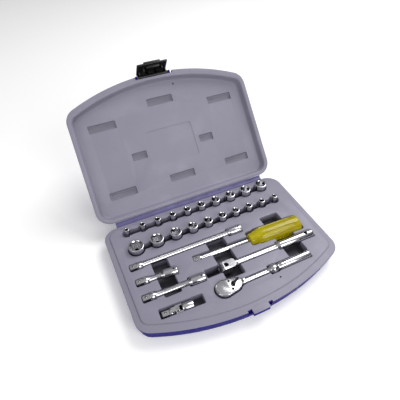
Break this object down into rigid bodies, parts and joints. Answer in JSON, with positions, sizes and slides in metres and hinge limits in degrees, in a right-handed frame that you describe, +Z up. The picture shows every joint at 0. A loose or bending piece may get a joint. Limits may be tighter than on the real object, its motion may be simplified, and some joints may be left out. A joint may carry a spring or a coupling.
{
  "type": "socket wrench set in case",
  "caption": "Quarter-inch drive sockets, ratchet, spinner, flex handle, extension bars and universal joint lying in a hinged moulded case with a latch, lid open.",
  "frame": {"origin": "middle of the case base's underside, on the surface the case lies on", "axes": "+Z up, +Y from the latch towards the hinge, +X to the right as seen from the latch"},
  "size_m": [0.269, 0.3266, 0.1778],
  "materials": {
    "grey_plastic": "fine satin moulding",
    "blue_plastic": "satin, indigo",
    "hinge_plastic": "thin bending strip",
    "black_plastic": "satin",
    "yellow_plastic": "clear yellow, polished",
    "chrome": "polished plating",
    "plain_steel": "ground",
    "black_steel": "blackened"
  },
  "bodies": {
    "case_base": {"base_shell": "blue_plastic", "base_tray": "grey_plastic", "hinge_web": "hinge_plastic"},
    "lid": {"lid_shell": "blue_plastic", "lid_panel": "grey_plastic", "latch_pin": "chrome"},
    "latch": {"latch": "black_plastic"},
    "socket_metric_4": {"socket_metric_4": "chrome"},
    "socket_metric_5": {"socket_metric_5": "chrome"},
    "socket_metric_5_5": {"socket_metric_5_5": "chrome"},
    "socket_metric_6": {"socket_metric_6": "chrome"},
    "socket_metric_7": {"socket_metric_7": "chrome"},
    "socket_metric_8": {"socket_metric_8": "chrome"},
    "socket_metric_9": {"socket_metric_9": "chrome"},
    "socket_metric_10": {"socket_metric_10": "chrome"},
    "socket_metric_11": {"socket_metric_11": "chrome"},
    "socket_metric_12": {"socket_metric_12": "chrome"},
    "socket_inch_9_16": {"socket_inch_9_16": "chrome"},
    "socket_inch_1_2": {"socket_inch_1_2": "chrome"},
    "socket_inch_7_16": {"socket_inch_7_16": "chrome"},
    "socket_inch_3_8": {"socket_inch_3_8": "chrome"},
    "socket_inch_11_32": {"socket_inch_11_32": "chrome"},
    "socket_inch_5_16": {"socket_inch_5_16": "chrome"},
    "socket_inch_9_32": {"socket_inch_9_32": "chrome"},
    "socket_inch_1_4": {"socket_inch_1_4": "chrome"},
    "socket_inch_7_32": {"socket_inch_7_32": "chrome"},
    "socket_inch_3_16": {"socket_inch_3_16": "chrome"},
    "extension_long": {"extension_long": "chrome", "extension_long_ball": "plain_steel"},
    "extension_short": {"extension_short": "chrome", "extension_short_ball": "plain_steel"},
    "extension_medium": {"extension_medium": "chrome", "extension_medium_ball": "plain_steel"},
    "spinner": {"spinner_grip": "yellow_plastic", "spinner_shaft": "chrome", "spinner_insert": "chrome", "spinner_ball": "plain_steel"},
    "flex_handle": {"flex_handle": "chrome", "flex_pin": "plain_steel"},
    "ratchet": {"ratchet_body": "chrome", "ratchet_cover": "chrome", "cover_screw_1": "black_steel", "cover_screw_2": "black_steel"},
    "universal_joint": {"joint_socket_yoke": "chrome"},
    "flex_head": {"flex_head": "chrome", "flex_ball": "plain_steel"},
    "ratchet_drive": {"ratchet_gear": "chrome", "ratchet_ball": "plain_steel"},
    "reverser": {"ratchet_lever": "black_steel", "ratchet_pawl": "plain_steel"},
    "joint_cross": {"joint_cross": "plain_steel", "joint_long_pin": "plain_steel", "joint_short_pin": "plain_steel", "joint_short_pin_2": "plain_steel"},
    "drive_yoke": {"joint_drive_yoke": "chrome", "joint_ball": "plain_steel"}
  },
  "joints": [
    {"name": "lid_hinge", "type": "hinge", "parent": "case_base", "child": "lid", "pos_m": [0, 0.0957, 0.02015], "axis": [-1, 0, 0], "range_deg": [-131, 0], "deforming": ["hinge_web"]},
    {"name": "latch_hinge", "type": "hinge", "parent": "lid", "child": "latch", "pos_m": [0, 0.22312, 0.15584], "axis": [-1, 0, 0], "range_deg": [-15, 65]},
    {"name": "socket_metric_4_lift", "type": "slide", "parent": "case_base", "child": "socket_metric_4", "axis": [0, 0, 1], "range_m": [0, 0.04]},
    {"name": "socket_metric_5_lift", "type": "slide", "parent": "case_base", "child": "socket_metric_5", "axis": [0, 0, 1], "range_m": [0, 0.04]},
    {"name": "socket_metric_5_5_lift", "type": "slide", "parent": "case_base", "child": "socket_metric_5_5", "axis": [0, 0, 1], "range_m": [0, 0.04]},
    {"name": "socket_metric_6_lift", "type": "slide", "parent": "case_base", "child": "socket_metric_6", "axis": [0, 0, 1], "range_m": [0, 0.04]},
    {"name": "socket_metric_7_lift", "type": "slide", "parent": "case_base", "child": "socket_metric_7", "axis": [0, 0, 1], "range_m": [0, 0.04]},
    {"name": "socket_metric_8_lift", "type": "slide", "parent": "case_base", "child": "socket_metric_8", "axis": [0, 0, 1], "range_m": [0, 0.04]},
    {"name": "socket_metric_9_lift", "type": "slide", "parent": "case_base", "child": "socket_metric_9", "axis": [0, 0, 1], "range_m": [0, 0.04]},
    {"name": "socket_metric_10_lift", "type": "slide", "parent": "case_base", "child": "socket_metric_10", "axis": [0, 0, 1], "range_m": [0, 0.04]},
    {"name": "socket_metric_11_lift", "type": "slide", "parent": "case_base", "child": "socket_metric_11", "axis": [0, 0, 1], "range_m": [0, 0.04]},
    {"name": "socket_metric_12_lift", "type": "slide", "parent": "case_base", "child": "socket_metric_12", "axis": [0, 0, 1], "range_m": [0, 0.04]},
    {"name": "socket_inch_9_16_lift", "type": "slide", "parent": "case_base", "child": "socket_inch_9_16", "axis": [0, 0, 1], "range_m": [0, 0.04]},
    {"name": "socket_inch_1_2_lift", "type": "slide", "parent": "case_base", "child": "socket_inch_1_2", "axis": [0, 0, 1], "range_m": [0, 0.04]},
    {"name": "socket_inch_7_16_lift", "type": "slide", "parent": "case_base", "child": "socket_inch_7_16", "axis": [0, 0, 1], "range_m": [0, 0.04]},
    {"name": "socket_inch_3_8_lift", "type": "slide", "parent": "case_base", "child": "socket_inch_3_8", "axis": [0, 0, 1], "range_m": [0, 0.04]},
    {"name": "socket_inch_11_32_lift", "type": "slide", "parent": "case_base", "child": "socket_inch_11_32", "axis": [0, 0, 1], "range_m": [0, 0.04]},
    {"name": "socket_inch_5_16_lift", "type": "slide", "parent": "case_base", "child": "socket_inch_5_16", "axis": [0, 0, 1], "range_m": [0, 0.04]},
    {"name": "socket_inch_9_32_lift", "type": "slide", "parent": "case_base", "child": "socket_inch_9_32", "axis": [0, 0, 1], "range_m": [0, 0.04]},
    {"name": "socket_inch_1_4_lift", "type": "slide", "parent": "case_base", "child": "socket_inch_1_4", "axis": [0, 0, 1], "range_m": [0, 0.04]},
    {"name": "socket_inch_7_32_lift", "type": "slide", "parent": "case_base", "child": "socket_inch_7_32", "axis": [0, 0, 1], "range_m": [0, 0.04]},
    {"name": "socket_inch_3_16_lift", "type": "slide", "parent": "case_base", "child": "socket_inch_3_16", "axis": [0, 0, 1], "range_m": [0, 0.04]},
    {"name": "extension_long_lift", "type": "slide", "parent": "case_base", "child": "extension_long", "axis": [0, 0, 1], "range_m": [0, 0.045]},
    {"name": "extension_short_lift", "type": "slide", "parent": "case_base", "child": "extension_short", "axis": [0, 0, 1], "range_m": [0, 0.045]},
    {"name": "extension_medium_lift", "type": "slide", "parent": "case_base", "child": "extension_medium", "axis": [0, 0, 1], "range_m": [0, 0.045]},
    {"name": "spinner_lift", "type": "slide", "parent": "case_base", "child": "spinner", "axis": [0, 0, 1], "range_m": [0, 0.045]},
    {"name": "flex_handle_lift", "type": "slide", "parent": "case_base", "child": "flex_handle", "axis": [0, 0, 1], "range_m": [0, 0.045]},
    {"name": "ratchet_lift", "type": "slide", "parent": "case_base", "child": "ratchet", "axis": [0, 0, 1], "range_m": [0, 0.045]},
    {"name": "universal_joint_lift", "type": "slide", "parent": "case_base", "child": "universal_joint", "axis": [0, 0, 1], "range_m": [0, 0.045]},
    {"name": "flex_head_hinge", "type": "hinge", "parent": "flex_handle", "child": "flex_head", "pos_m": [-0.01385, -0.02775, 0.0199], "axis": [0.0105, 0.9999, 0], "range_deg": [0, 90]},
    {"name": "ratchet_spin", "type": "hinge", "parent": "ratchet", "child": "ratchet_drive", "pos_m": [-0.02665, -0.055, 0.0199], "axis": [0, 0, 1], "continuous": true},
    {"name": "reverser_turn", "type": "hinge", "parent": "ratchet", "child": "reverser", "pos_m": [-0.01525, -0.055, 0.0199], "axis": [0, 0, 1], "range_deg": [-54, 0]},
    {"name": "joint_tilt", "type": "hinge", "parent": "universal_joint", "child": "joint_cross", "pos_m": [-0.08477, -0.05316, 0.016], "axis": [0.0436, 0.999, 0], "range_deg": [0, 35]},
    {"name": "joint_swing", "type": "hinge", "parent": "joint_cross", "child": "drive_yoke", "pos_m": [-0.08477, -0.05316, 0.016], "axis": [0, 0, 1], "range_deg": [-4, 4]}
  ]
}
